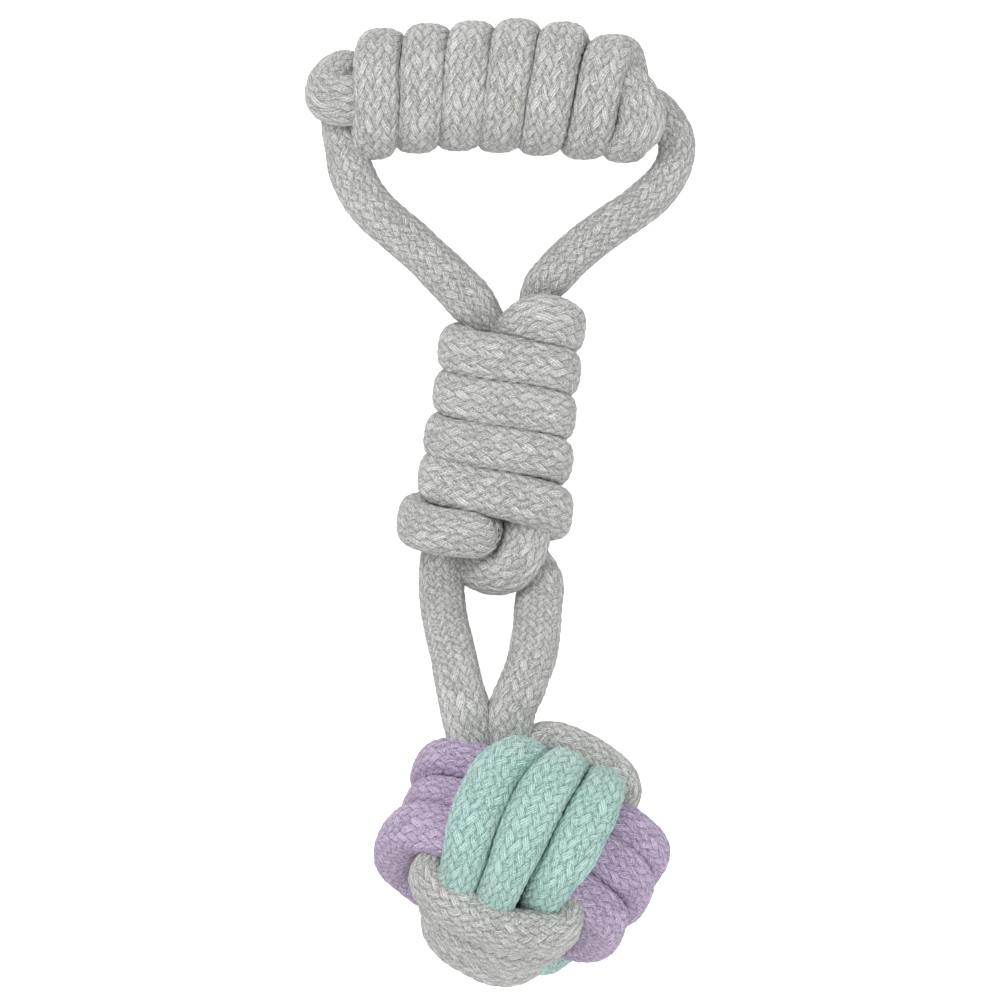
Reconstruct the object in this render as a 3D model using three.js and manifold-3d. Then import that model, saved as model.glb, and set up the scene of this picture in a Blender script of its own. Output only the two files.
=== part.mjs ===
// Rope dog toy: a wound grip, a loop for the hand, a wrapped knot and a three-colour rope ball.
// The toy lies on its back. X runs across it, Y from the ball to the grip, Z up. Millimetres.
import * as THREE from 'three';
import { mergeVertices } from 'three/addons/utils/BufferGeometryUtils.js';
import Module from 'manifold-3d';

const wasm = await Module();
wasm.setup();

// Rope
const ROPE_DIAMETER = 11.5;          // free stretches
const ROPE_SIDES = 10;
const WOUND_SIDES = 6;
const STEPS_PER_TURN = 24;
const TURN_GAP = 0.5;                // clear space between the turns of a winding
const FIT = 0.4;                     // clear space between neighbouring ropes
const FLAT_DEPTH = 1.15;             // how far the turns under the toy are pressed flat

// Grip: a rope wound round the loop rope
const GRIP_TURNS = 7;
const GRIP_CENTER = new THREE.Vector2(2, 103.2);
const GRIP_ROPE_WIDTH = 9.75;
const GRIP_ROPE_DEPTH = 11.2;
const GRIP_CORE_DIAMETER = 8;
const GRIP_FIT = 0.6;                // clear space between the turns and the rope inside
const GRIP_SLANT = 1.054;            // length of a slanted turn along the grip, over its width
const GRIP_SWELL = 0.8;              // the middle turns stand this much further out
const GRIP_LEAN_START = 0.8;         // skew of the first turn at the right end
const GRIP_LEAN_END = -1.6;          // skew of the last turn at the left end

// Knot: turns round both strands of the loop
const KNOT_CENTER = new THREE.Vector2(0.8, 20.75);
const KNOT_TILT = THREE.MathUtils.degToRad(6.4);
const KNOT_ROPE_WIDTH = 10.4;
const KNOT_ROPE_DEPTH = 10.6;
const KNOT_SLANT = 1.021;            // length of a slanted turn along the knot, over its width
const KNOT_STRAND_WIDTH = 6.6;
const KNOT_STRAND_DEPTH = 7.6;
const KNOT_FIT = 0.7;                // clear space between the turns and the strands inside
const KNOT_FIRST_FRONT = 14.3;       // first full front turn above the knot's middle
const KNOT_SQUARENESS = 2.6;         // exponent of the turns' outline

// Ball: three coils of three strands, each coil under the next
const BALL_CENTER = new THREE.Vector2(6.1, -87.5);
const BALL_RIGHT = new THREE.Vector3(0.90, -0.43, 0.03);
const BALL_UP = new THREE.Vector3(0.42, 0.88, -0.42);
const BALL_LANES = 3;
const BALL_ROPE_WIDTH = 11.5;
const BALL_ROPE_DEPTH = 10.4;        // where a strand shows
const BALL_COVERED_DEPTH = 5.2;      // where the next coil presses on it
const BALL_FIT = 1.15;               // clear space between coils that cross
const BALL_SQUARENESS = 6;           // exponent of a coil's outline before the ball is drawn round
const BALL_CUBE_POWER = 8;           // how cube-like the ball would be if it were not drawn round
const BALL_ROUNDING = 1.35;          // how far its corners are drawn in
const BALL_COIL_ENDS = [125, 55];    // degrees past the middle of the coil's shown side
const BALL_LANE_STEP = [48, 132];    // degrees between which a coil moves on to its next lane
const BALL_PRESSED_SHARE = 0.7;      // up to this share of its reach a strand stays pressed
const BALL_CORE_SHARE = 0.74;        // core's radius over half the width of a coil

const ORIGIN = new THREE.Vector2(0.1, -1.35);   // under the middle of the whole toy

const X_AXIS = new THREE.Vector3(1, 0, 0);
const Y_AXIS = new THREE.Vector3(0, 1, 0);
const Z_AXIS = new THREE.Vector3(0, 0, 1);

// Finishes
const GREY = { color: 0xb9bbb8, roughness: 0.95, metalness: 0 };
const MINT = { color: 0x9fd6c8, roughness: 0.95, metalness: 0 };
const LILAC = { color: 0xb39ac6, roughness: 0.95, metalness: 0 };

const toy = new THREE.Group();

function addRope(name, geometry, finish) {
  const mesh = new THREE.Mesh(geometry, new THREE.MeshStandardMaterial(finish));
  mesh.name = name;
  toy.add(mesh);
}

// A station of a rope: where its middle is, which way is out, and how wide and deep it is there.
function station(point, tangent, out, width, depth) {
  const outward = out.clone().addScaledVector(tangent, -out.dot(tangent)).normalize();
  const across = new THREE.Vector3().crossVectors(tangent, outward);
  return { point, tangent, outward, across, width, depth };
}

function sectionPoints({ point, outward, across, width, depth }, sides) {
  const widest = Math.sin(2 * Math.PI * Math.round(sides / 4) / sides);
  return Array.from({ length: sides }, (_, side) => {
    const angle = (2 * Math.PI * side) / sides;
    return point.clone()
      .addScaledVector(outward, (depth / 2) * Math.cos(angle))
      .addScaledVector(across, ((width / 2) * Math.sin(angle)) / widest);
  });
}

function ringsOf(stations, sides) {
  return stations.map((each) => sectionPoints(each, sides));
}

function middleOf(ring) {
  return ring.reduce((sum, point) => sum.add(point), new THREE.Vector3()).divideScalar(ring.length);
}

// Skin of a rope through its rings, closed by a fan at each end.
function ropeGeometry(rings) {
  const sides = rings[0].length;
  const vertices = rings.flat();
  const first = vertices.push(middleOf(rings[0])) - 1;
  const last = vertices.push(middleOf(rings.at(-1))) - 1;
  const end = (rings.length - 1) * sides;
  const faces = [];
  for (let side = 0; side < sides; side++) {
    const next = (side + 1) % sides;
    for (let row = 0; row < end; row += sides) {
      faces.push(row + side, row + next, row + sides + next);
      faces.push(row + side, row + sides + next, row + sides + side);
    }
    faces.push(first, next, side, last, end + side, end + next);
  }
  const geometry = new THREE.BufferGeometry().setFromPoints(vertices);
  geometry.setIndex(faces);
  geometry.computeVertexNormals();
  return geometry;
}

// Tangents of a list of points, each from its neighbours.
function tangentsOf(points) {
  return points.map((_, index) => {
    const before = points[Math.max(index - 1, 0)];
    const after = points[Math.min(index + 1, points.length - 1)];
    return after.clone().sub(before).normalize();
  });
}

const NEXT_TURN = 0.6;               // share of a turn after which the rope counts as another turn

// Least clear space between different turns of a winding, measured on its ring points.
function leastGap(rings) {
  const apart = Math.round(STEPS_PER_TURN * NEXT_TURN);
  let least = Infinity;
  for (let one = 0; one < rings.length; one++) {
    for (let two = one + apart; two < rings.length; two++) {
      if (rings[one][0].distanceTo(rings[two][0]) > 3 * ROPE_DIAMETER) continue;
      for (const here of rings[one]) {
        for (const there of rings[two]) least = Math.min(least, here.distanceTo(there));
      }
    }
  }
  return least;
}

function toSolid(geometry) {
  const bare = geometry.clone();
  bare.deleteAttribute('normal');
  bare.deleteAttribute('uv');
  const merged = mergeVertices(bare);
  const vertProperties = new Float32Array(merged.attributes.position.array);
  const triVerts = new Uint32Array(merged.index.array);
  return new wasm.Manifold(new wasm.Mesh({ numProp: 3, vertProperties, triVerts }));
}

function toGeometry(solid) {
  const { vertProperties, triVerts } = solid.getMesh();
  const geometry = new THREE.BufferGeometry();
  geometry.setAttribute('position', new THREE.BufferAttribute(vertProperties, 3));
  geometry.setIndex(new THREE.BufferAttribute(triVerts, 1));
  geometry.computeVertexNormals();
  return geometry;
}

// The turns that the toy lies on are pressed flat at the floor.
const FLOOR_BLOCK = 400;
const floorSolid = toSolid(
  new THREE.BoxGeometry(FLOOR_BLOCK, FLOOR_BLOCK, FLOOR_BLOCK).translate(0, 0, -FLOOR_BLOCK / 2),
);

function pressedFlat(geometry) {
  return toGeometry(toSolid(geometry).subtract(floorSolid));
}

function addWinding(name, rings, finish) {
  console.log(`${name}: least gap to itself ${leastGap(rings).toFixed(2)} mm`);
  addRope(name, pressedFlat(ropeGeometry(rings)), finish);
}

// Strand along points chosen by hand. Each row is x, y, z and may add the strand's width and depth there.
const STRAND_STEP = ROPE_DIAMETER / 2;

function strandStations(rows, roundStart, roundEnd) {
  const points = rows.map(([x, y, z]) => new THREE.Vector3(x, y, z));
  const curve = new THREE.CatmullRomCurve3(points, false, 'centripetal');
  const sizes = rows.map(([, , , width = ROPE_DIAMETER, depth = width]) => [width, depth]);
  const steps = Math.max(2, Math.round(curve.getLength() / STRAND_STEP));
  const stations = [];
  for (let step = 0; step <= steps; step++) {
    const t = curve.getUtoTmapping(step / steps);
    const row = Math.min(Math.floor(t * (rows.length - 1)), rows.length - 2);
    const share = t * (rows.length - 1) - row;
    const width = THREE.MathUtils.lerp(sizes[row][0], sizes[row + 1][0], share);
    const depth = THREE.MathUtils.lerp(sizes[row][1], sizes[row + 1][1], share);
    stations.push(station(curve.getPoint(t), curve.getTangent(t), Z_AXIS, width, depth));
  }
  if (roundStart) stations.unshift(...roundTip(stations[0], -1).reverse());
  if (roundEnd) stations.push(...roundTip(stations.at(-1), 1));
  return stations;
}

// Half-ball tip of a strand that turns about its own end.
const TIP_SLICES = [30, 55, 75, 88].map(THREE.MathUtils.degToRad);

function roundTip(base, direction) {
  return TIP_SLICES.map((angle) => ({
    ...base,
    point: base.point.clone().addScaledVector(base.tangent, (direction * base.depth * Math.sin(angle)) / 2),
    width: base.width * Math.cos(angle),
    depth: base.depth * Math.cos(angle),
  }));
}

function addStrand(name, rows, { roundStart = false, roundEnd = false, finish = GREY } = {}) {
  addRope(name, ropeGeometry(ringsOf(strandStations(rows, roundStart, roundEnd), ROPE_SIDES)), finish);
}

// Where the rope bends most easily. Both legs of a pair bend about one line, parallel to X.
const GRIP_HINGE_Y = 78;
const KNOT_HINGE_Y = 58.5;
const KNOT_HINGE_Z = 14;
const NECK_HINGE_Y = -26;
const NECK_HINGE_Z = 15.5;
const BALL_HINGE_Y = -46;
const BALL_HINGE_Z = 36;
const HINGE_CLEAR = ROPE_DIAMETER / 2 + FIT;

// End of a strand that faces a round tip: clear of the tip, on the line from its middle.
function stub(hinge, next, width = ROPE_DIAMETER) {
  const towards = new THREE.Vector3(...next).sub(hinge).setLength(HINGE_CLEAR);
  return [...hinge.clone().add(towards).toArray(), width];
}

// Grip
const gripPitch = (GRIP_ROPE_WIDTH + TURN_GAP) * GRIP_SLANT;
const gripEndRadius = GRIP_CORE_DIAMETER / 2 + GRIP_FIT + GRIP_ROPE_DEPTH / 2;
const gripAxisHeight = gripEndRadius + GRIP_SWELL + GRIP_ROPE_DEPTH / 2 - FLAT_DEPTH;
const gripFirstFront = GRIP_CENTER.x + ((GRIP_TURNS - 1) / 2) * gripPitch;

// A turn counts from the top, over the front, under and up the back. The rope winds from right to left.
function gripPoint(turn, radius) {
  const angle = 2 * Math.PI * turn;
  const along = (turn - 0.25) / (GRIP_TURNS - 1);
  const skew = THREE.MathUtils.lerp(GRIP_LEAN_START, GRIP_LEAN_END, along) * Math.cos(angle);
  return new THREE.Vector3(
    gripFirstFront - gripPitch * (turn - 0.25) + skew,
    GRIP_CENTER.y + radius * Math.cos(angle),
    gripAxisHeight + radius * Math.sin(angle),
  );
}

function gripRadius(turn) {
  const along = (turn - 0.25) / (GRIP_TURNS - 1);
  return gripEndRadius + GRIP_SWELL * Math.sin(Math.PI * THREE.MathUtils.clamp(along, 0, 1));
}

function gripStations() {
  const points = [];
  const first = 0.34;
  const last = GRIP_TURNS - 0.2;
  const startSwell = 1.9;
  const startSwellFade = 0.3;
  const turns = Math.round((last - first) * STEPS_PER_TURN);
  for (let step = 0; step <= turns; step++) {
    const turn = first + (step * (last - first)) / turns;
    const fade = Math.max(0, 1 - (turn - first) / startSwellFade);
    points.push(gripPoint(turn, gripRadius(turn) + startSwell * fade * fade * (3 - 2 * fade)));
  }
  // The first end runs straight up the front, beside the next turn.
  const straight = new THREE.Vector3(0.22, 0.94, -0.02).normalize().multiplyScalar(ROPE_DIAMETER);
  points.unshift(points[0].clone().add(straight), points[0].clone().addScaledVector(straight, 0.5));
  // The last end curls over the grip's left end and runs straight down in front of the loop rope.
  const curl = [
    [-41.4, 109.2, -6.8], [-44.2, 111.4, 0.6], [-44.9, 109.6, 7.4],
    [-44.9, 105.6, 11], [-44.9, 99.8, 11.6], [-44.9, 94, 11.6],
  ];
  points.push(...curl.map(([x, y, z]) => new THREE.Vector3(x, y, gripAxisHeight + z)));
  const tangents = tangentsOf(points);
  return points.map((point, index) => {
    const out = new THREE.Vector3(0, point.y - GRIP_CENTER.y, point.z - gripAxisHeight);
    return station(point, tangents[index], out, GRIP_ROPE_WIDTH, GRIP_ROPE_DEPTH);
  });
}

addWinding('grip_wrap', ringsOf(gripStations(), WOUND_SIDES), GREY);

const gripLeft = new THREE.Vector3(-35.3, GRIP_HINGE_Y, gripAxisHeight);
const gripRight = new THREE.Vector3(41.2, GRIP_HINGE_Y, gripAxisHeight);
addStrand('grip_core_rope', [
  stub(gripLeft, [-41.4, 88.6, gripAxisHeight], 10.6),
  [-41.4, 88.6, gripAxisHeight + 0.4, 9],
  [-42.2, 93, gripAxisHeight + 0.6, 9],
  [-41.6, 98, gripAxisHeight + 0.4, 8.8],
  [-38.6, 102, gripAxisHeight, GRIP_CORE_DIAMETER],
  [-33, GRIP_CENTER.y, gripAxisHeight, GRIP_CORE_DIAMETER],
  [0, GRIP_CENTER.y, gripAxisHeight, GRIP_CORE_DIAMETER],
  [34, GRIP_CENTER.y, gripAxisHeight, GRIP_CORE_DIAMETER],
  [41, 101.6, gripAxisHeight, 9.6],
  [44.4, 97, gripAxisHeight, 10.6],
  [44.8, 91, gripAxisHeight, 10.6],
  stub(gripRight, [44.8, 91, gripAxisHeight]),
]);

// Sine or cosine of an outline squarer than an ellipse.
function bulged(value, squareness) {
  return Math.sign(value) * Math.abs(value) ** (2 / squareness);
}

// Knot. Its own axes: across to the right, along its length from top to bottom, and up.
const knotAcross = new THREE.Vector3(Math.cos(KNOT_TILT), -Math.sin(KNOT_TILT), 0);
const knotDown = new THREE.Vector3(-Math.sin(KNOT_TILT), -Math.cos(KNOT_TILT), 0);
const knotPitch = (KNOT_ROPE_WIDTH + TURN_GAP) * KNOT_SLANT;
const knotHalfWidth = KNOT_STRAND_WIDTH + FIT / 2 + KNOT_FIT + KNOT_ROPE_DEPTH / 2;
const knotHalfDepth = KNOT_STRAND_DEPTH / 2 + KNOT_FIT + KNOT_ROPE_DEPTH / 2;
const knotHeight = knotHalfDepth + KNOT_ROPE_DEPTH / 2 - FLAT_DEPTH;

function knotPoint(across, down, up) {
  return new THREE.Vector3(KNOT_CENTER.x, KNOT_CENTER.y, knotHeight + up)
    .addScaledVector(knotAcross, across)
    .addScaledVector(knotDown, down);
}

// A turn counts from the left side, over the front, down the right side and back behind.
function knotStations() {
  const first = -0.62;
  const last = 4;
  const points = [];
  const turns = Math.round((last - first) * STEPS_PER_TURN);
  for (let step = 0; step <= turns; step++) {
    const turn = first + (step * (last - first)) / turns;
    const angle = 2 * Math.PI * turn;
    const down = knotPitch * (turn - 0.25) - KNOT_FIRST_FRONT;
    const widen = 5.4 * THREE.MathUtils.smoothstep(turn, 3.62, 4);
    const across = -bulged(Math.cos(angle), KNOT_SQUARENESS);
    const up = bulged(Math.sin(angle), KNOT_SQUARENESS);
    points.push(knotPoint((knotHalfWidth + widen) * across, down, knotHalfDepth * up));
  }
  // The top end lies straight across the front of the right strand.
  const top = points[0];
  const straight = new THREE.Vector3(-0.96, -0.02, 0.27).normalize().multiplyScalar(ROPE_DIAMETER);
  points.unshift(top.clone().add(straight), top.clone().addScaledVector(straight, 0.5));
  // The bottom end comes forward round the left strand and runs straight across the front.
  points.push(knotPoint(-17.6, 27.6, 4.6), knotPoint(-14.6, 28, 8.8), knotPoint(-9.6, 28.2, 10.4));
  points.push(knotPoint(-4, 28.4, 10.6), knotPoint(1.6, 28.6, 10.6));
  const tangents = tangentsOf(points);
  const middle = new THREE.Vector3(KNOT_CENTER.x, KNOT_CENTER.y, knotHeight);
  return points.map((point, index) => {
    const out = point.clone().sub(middle);
    out.addScaledVector(knotDown, -out.dot(knotDown));
    return station(point, tangents[index], out, KNOT_ROPE_WIDTH, KNOT_ROPE_DEPTH);
  });
}

addWinding('knot_wrap', ringsOf(knotStations(), WOUND_SIDES), GREY);

// Strands of the loop inside the knot: rows of across, down, up, width and depth.
function knotRows(rows) {
  return rows.map(([across, down, up, ...sizes]) => [...knotPoint(across, down, up).toArray(), ...sizes]);
}

const strandAside = (KNOT_STRAND_WIDTH + FIT) / 2;
const pressed = [KNOT_STRAND_WIDTH, KNOT_STRAND_DEPTH];
const knotTopLeft = new THREE.Vector3(-15.4, KNOT_HINGE_Y, KNOT_HINGE_Z);
const knotTopRight = new THREE.Vector3(15.1, KNOT_HINGE_Y, KNOT_HINGE_Z);
const neckLeft = new THREE.Vector3(-14.4, NECK_HINGE_Y, NECK_HINGE_Z);
const neckRight = new THREE.Vector3(9.8, NECK_HINGE_Y, NECK_HINGE_Z);
const leftRows = knotRows([
  [-11.4, -29.2, 0, 9.6, 8.8],
  [-7, -25.6, 0, 8, 8.2],
  [-strandAside - 0.4, -21, 0, ...pressed],
  [-strandAside, -17, 0, ...pressed],
  [-strandAside, -12, 0, ...pressed],
  [-strandAside, 0, 0, ...pressed],
  [-strandAside, 12, 0, ...pressed],
  [-strandAside, 17, 0, ...pressed],
  [-4.6, 22, 0, ...pressed],
  [-7.6, 29, 0.3, 5.8, 6.8],
  [-11.2, 36, 0, 10, 9.6],
]);
const rightRows = knotRows([
  [4.6, -29, -1, 7.2, 7],
  [strandAside, -23, -0.5, KNOT_STRAND_WIDTH, 7],
  [strandAside, -16, 0, ...pressed],
  [strandAside, 0, 0, ...pressed],
  [strandAside, 16, 0, ...pressed],
  [strandAside, 25, 0, ...pressed],
  [5.2, 29, 0, 6.6, 8],
  [9.6, 33, -0.6, 8, 8.2],
  [13.2, 36.6, -1.4, 10, 9.6],
]);
addStrand('knot_strand_left', [
  stub(knotTopLeft, leftRows[0]),
  ...leftRows,
  stub(neckLeft, leftRows.at(-1)),
]);
addStrand('knot_strand_right', [
  stub(knotTopRight, rightRows[0]),
  ...rightRows,
  stub(neckRight, rightRows.at(-1)),
]);
addStrand('knot_tuck', knotRows([
  [7.6, 27, 10.6, 10, 10.6],
  [8, 31.4, 10.6, 10.4, 10.6],
  [6.6, 36.4, 10, 10.4, 10.6],
  [2.4, 39.7, 8.6, 10.4, 10.6],
  [-3.6, 40.1, 7, 10, 10.6],
]));

// Loop of the hand: two free legs between the knot and the grip, each turning about its own ends.
const FREE_ENDS = { roundStart: true, roundEnd: true };
addStrand('upper_leg_left', [
  knotTopLeft.toArray(),
  [-19.9, 62.75, KNOT_HINGE_Z + 0.4],
  [-26, 68, KNOT_HINGE_Z + 1],
  [-31.4, 73, gripAxisHeight],
  gripLeft.toArray(),
], FREE_ENDS);
addStrand('upper_leg_right', [
  knotTopRight.toArray(),
  [19.5, 63, KNOT_HINGE_Z + 0.4],
  [26, 67.6, KNOT_HINGE_Z + 1],
  [34.5, 73, gripAxisHeight],
  gripRight.toArray(),
], FREE_ENDS);

// Neck: two free legs between the knot and the ball.
const ballLeft = new THREE.Vector3(-10.1, BALL_HINGE_Y, BALL_HINGE_Z);
const ballRightEnd = new THREE.Vector3(5.8, BALL_HINGE_Y, BALL_HINGE_Z);
addStrand('lower_leg_left', [
  neckLeft.toArray(),
  [-13.4, -32, 21.6],
  [-11.8, -39, 29],
  ballLeft.toArray(),
], FREE_ENDS);
addStrand('lower_leg_right', [
  neckRight.toArray(),
  [9.4, -32, 21.6],
  [8, -39, 29],
  ballRightEnd.toArray(),
], FREE_ENDS);

// Ball. Each coil shows on two opposite faces and passes under the next coil on two others.
const ballRight = BALL_RIGHT.clone().normalize();
const ballFront = new THREE.Vector3().crossVectors(ballRight, BALL_UP).normalize();
const ballUp = new THREE.Vector3().crossVectors(ballFront, ballRight);
const lanePitch = BALL_ROPE_WIDTH + BALL_FIT;
const coveredReach = (lanePitch * BALL_LANES) / 2 + BALL_COVERED_DEPTH / 2 + BALL_FIT;
const shownReach = coveredReach + (BALL_COVERED_DEPTH + BALL_ROPE_DEPTH) / 2 + BALL_FIT;

// Draws in the corners of a cube-like arrangement, so that the ball is round. Ball axes: right, up, front.
function drawnRound(point) {
  const powers = point.toArray().map((each) => Math.abs(each) ** BALL_CUBE_POWER);
  const cubic = (powers[0] + powers[1] + powers[2]) ** (1 / BALL_CUBE_POWER);
  return point.clone().multiplyScalar((cubic / point.length()) ** BALL_ROUNDING);
}

// Rings of a coil in the ball's axes. The coil moves on by one lane where it is covered, on one side only.
function coilRings(laneAxis, shownAxis, coveredAxis) {
  const start = BALL_COIL_ENDS[0];
  const end = 360 * BALL_LANES + BALL_COIL_ENDS[1];
  const steps = Math.round(((end - start) / 360) * STEPS_PER_TURN);
  const points = [];
  const depths = [];
  for (let step = 0; step <= steps; step++) {
    const degrees = start + (step * (end - start)) / steps;
    const angle = THREE.MathUtils.degToRad(degrees);
    const shown = bulged(Math.cos(angle), BALL_SQUARENESS);
    const covered = bulged(Math.sin(angle), BALL_SQUARENESS);
    let lane = -(BALL_LANES - 1) / 2;
    for (let turn = 1; turn < BALL_LANES; turn++) {
      lane += THREE.MathUtils.smoothstep(degrees - 360 * turn, ...BALL_LANE_STEP);
    }
    points.push(new THREE.Vector3()
      .addScaledVector(laneAxis, lane * lanePitch)
      .addScaledVector(shownAxis, shown * shownReach)
      .addScaledVector(coveredAxis, covered * coveredReach));
    const rise = THREE.MathUtils.smoothstep(Math.abs(shown), BALL_PRESSED_SHARE, 1);
    depths.push(THREE.MathUtils.lerp(BALL_COVERED_DEPTH, BALL_ROPE_DEPTH, rise));
  }
  const tangents = tangentsOf(points);
  const stations = points.map((point, index) => {
    const out = new THREE.Vector3().crossVectors(laneAxis, tangents[index]);
    if (out.dot(point) < 0) out.negate();
    return station(point, tangents[index], out, BALL_ROPE_WIDTH, depths[index]);
  });
  return ringsOf(stations, WOUND_SIDES).map((ring) => ring.map((point) => drawnRound(point)));
}

const coils = [
  ['ball_coil_mint', coilRings(X_AXIS, Z_AXIS, Y_AXIS), MINT],
  ['ball_coil_lilac', coilRings(Y_AXIS, X_AXIS, Z_AXIS), LILAC],
  ['ball_coil_grey', coilRings(Z_AXIS, Y_AXIS, X_AXIS), GREY],
];
const ballPose = new THREE.Matrix4().makeBasis(ballRight, ballUp, ballFront);
const coilPoints = coils.flatMap(([, rings]) => rings.flat());
for (const point of coilPoints) point.applyMatrix4(ballPose);
const ballHeight = -Math.min(...coilPoints.map(({ z }) => z)) - FLAT_DEPTH;
const ballMiddle = new THREE.Vector3(BALL_CENTER.x, BALL_CENTER.y, ballHeight);
for (const point of coilPoints) point.add(ballMiddle);
for (const coil of coils) addWinding(...coil);

const coreRadius = (coveredReach - BALL_COVERED_DEPTH / 2 - BALL_FIT) * BALL_CORE_SHARE;
addRope('ball_core', new THREE.SphereGeometry(coreRadius, 16, 12).translate(...ballMiddle.toArray()), GREY);

addStrand('ball_neck_left', [
  stub(ballLeft, [-9.6, -50.6, 41.6]),
  [-9.6, -50.6, 41.6, 10.8],
  [-8.2, -54.8, 45.4, 9.4, 9],
  [-6.9, -58.8, 47.2, 7.6, 7.6],
  [-6.2, -61.6, 47.4, 6.4, 6.4],
]);
addStrand('ball_neck_right', [
  stub(ballRightEnd, [3.2, -50.6, 42.2]),
  [3.2, -50.6, 42.2, 10.6],
  [1.6, -54.8, 46.4, 9.4, 9],
  [0.9, -58.8, 48.2, 7.4, 7.6],
  [0.6, -61.4, 48.6, 6.2, 6.4],
]);

for (const rope of toy.children) rope.geometry.translate(-ORIGIN.x, -ORIGIN.y, 0);

export default toy;
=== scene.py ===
"""Rope dog toy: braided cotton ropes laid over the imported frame, with a floor, lights and a camera."""

import math

import bmesh
import bpy
import numpy as np
from bpy.props import FloatProperty, FloatVectorProperty, IntProperty, PointerProperty
from bpy.types import Operator, Panel, PropertyGroup
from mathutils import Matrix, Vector


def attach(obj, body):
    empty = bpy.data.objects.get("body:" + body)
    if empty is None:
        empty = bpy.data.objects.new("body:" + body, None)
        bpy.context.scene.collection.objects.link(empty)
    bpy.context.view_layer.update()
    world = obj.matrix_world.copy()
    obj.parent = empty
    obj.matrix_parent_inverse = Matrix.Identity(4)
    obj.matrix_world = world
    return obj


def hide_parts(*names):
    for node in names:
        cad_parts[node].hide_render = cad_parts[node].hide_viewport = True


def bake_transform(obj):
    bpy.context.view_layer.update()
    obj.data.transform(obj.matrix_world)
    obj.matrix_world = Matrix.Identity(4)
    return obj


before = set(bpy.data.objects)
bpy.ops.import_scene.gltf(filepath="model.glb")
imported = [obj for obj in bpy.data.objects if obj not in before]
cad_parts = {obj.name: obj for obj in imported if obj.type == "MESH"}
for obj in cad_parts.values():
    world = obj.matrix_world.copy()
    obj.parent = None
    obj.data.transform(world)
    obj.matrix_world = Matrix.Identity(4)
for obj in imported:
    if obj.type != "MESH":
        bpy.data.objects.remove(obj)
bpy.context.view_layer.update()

bl_info = {
    "name": "Rope Dog Toy",
    "version": (1, 0, 0),
    "blender": (4, 5, 0),
    "location": "View3D > Sidebar > Rope Toy",
    "description": "Braids the ropes of a dog toy with a wound grip, a wrapped knot and a three-colour ball",
    "category": "Object",
}

MM = 0.001
SHIFT = np.array((-0.1, 1.35, 0.0))  # from the layout's zero to the middle of the whole toy, mm
UV_NAME = "braid"
UP = np.array((0.0, 0.0, 1.0))
TINY = 1e-6  # keeps a division off zero, mm
MERGED = 1e-7  # points closer than this are one, m

# Ropes
ROUND = 2.1  # squareness of a free rope's section
PRESSED_FROM = (12.0, 32.0)  # distance from its end over which a rope goes from round to pressed, mm
END_LENGTH = 3.0  # over which a rope's ends are rounded off, mm
END_CLOSED = 0.97  # how far a section closes at an end
RING_SHARE = 0.9  # distance between a rope's rings, over that between the points of a ring
FULL_RELIEF = 3.0  # radius from which a rope has its full relief, mm
UNEVEN_CELLS = 5  # uneven places round a rope
UNEVEN_YARNS = 3  # yarns along the rope from one uneven place to the next
TURN_STEPS = 48  # rows in a turn of a winding
FRONT = 0.25  # share of a turn at which it crosses the front
OUTLINE_POINTS = 4001  # on an outline before it is cut into even steps

# Braid
OVER = 2.0  # yarns that a yarn passes over, and then under: such a pass over is a float
YARN_SIDES = 0.8  # how far a float falls off to its sides
YARN_ENDS = 0.98  # and to its ends
YARN_KEPT = 0.25  # height that it keeps at its ends

# Grip winding, mm: where each turn crosses the front, from the right, and its own middle and radius there
GRIP_FRONTS = (34.6, 24.5, 12.8, 1.8, -8.8, -19.4, -30.9)
GRIP_MIDDLES = (101.0, 101.2, 103.6, 104.3, 103.9, 103.6, 102.1)
GRIP_RADII = (10.8, 10.2, 12.0, 11.4, 10.6, 10.7, 10.6)
GRIP_LEAN = (1.2, -1.7)  # skew of the first and of the last turn
GRIP_HEIGHT = 15.45  # of the winding's middle above the floor

# Knot, mm
KNOT_MIDDLE = (0.8, 20.75)
KNOT_TILT = math.radians(6.4)  # its lower end lies to the left
KNOT_PITCH = 11.13  # from wrap to wrap
KNOT_HALF = (12.8, 9.8)  # of the wraps' middle line, across and up
KNOT_HEIGHT = 13.95  # of its middle above the floor
KNOT_FIRST_FRONT = 14.6  # first full front wrap above the knot's middle
KNOT_SQUARENESS = 2.6  # of the wraps' outline

# Ball, mm
BALL_MIDDLE = (5.9, -87.2, 34.81)
BALL_RIGHT = (0.90, -0.43, 0.03)  # direction of the ball's own right
BALL_UP = (0.42, 0.88, -0.42)  # and about that of its own top
BALL_LANES = 3  # strands of a coil, side by side
BALL_CORE = 16.0  # radius of the wad inside


class ToyRope(PropertyGroup):
    """Rope and its braid."""

    diameter: FloatProperty(
        name="Rope", description="Diameter of a free rope", default=11.6 * MM, unit="LENGTH")
    yarns: IntProperty(
        name="Yarns", description="Yarns that run each way round the rope, an even number", default=18)
    lay: FloatProperty(
        name="Lay", description="Rope length in which a yarn crosses one other",
        default=2.9 * MM, unit="LENGTH")
    samples: IntProperty(
        name="Samples", description="Mesh steps over one yarn", default=4, min=3, max=6)
    relief: FloatProperty(
        name="Relief", description="Height of a yarn's crown over its edges",
        default=0.55 * MM, unit="LENGTH")
    drift: FloatProperty(
        name="Drift", description="How far yarns lie off their places, in yarns", default=0.13)
    unevenness: FloatProperty(
        name="Unevenness", description="How far the rope's surface is off its section",
        default=0.22 * MM, unit="LENGTH")


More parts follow.
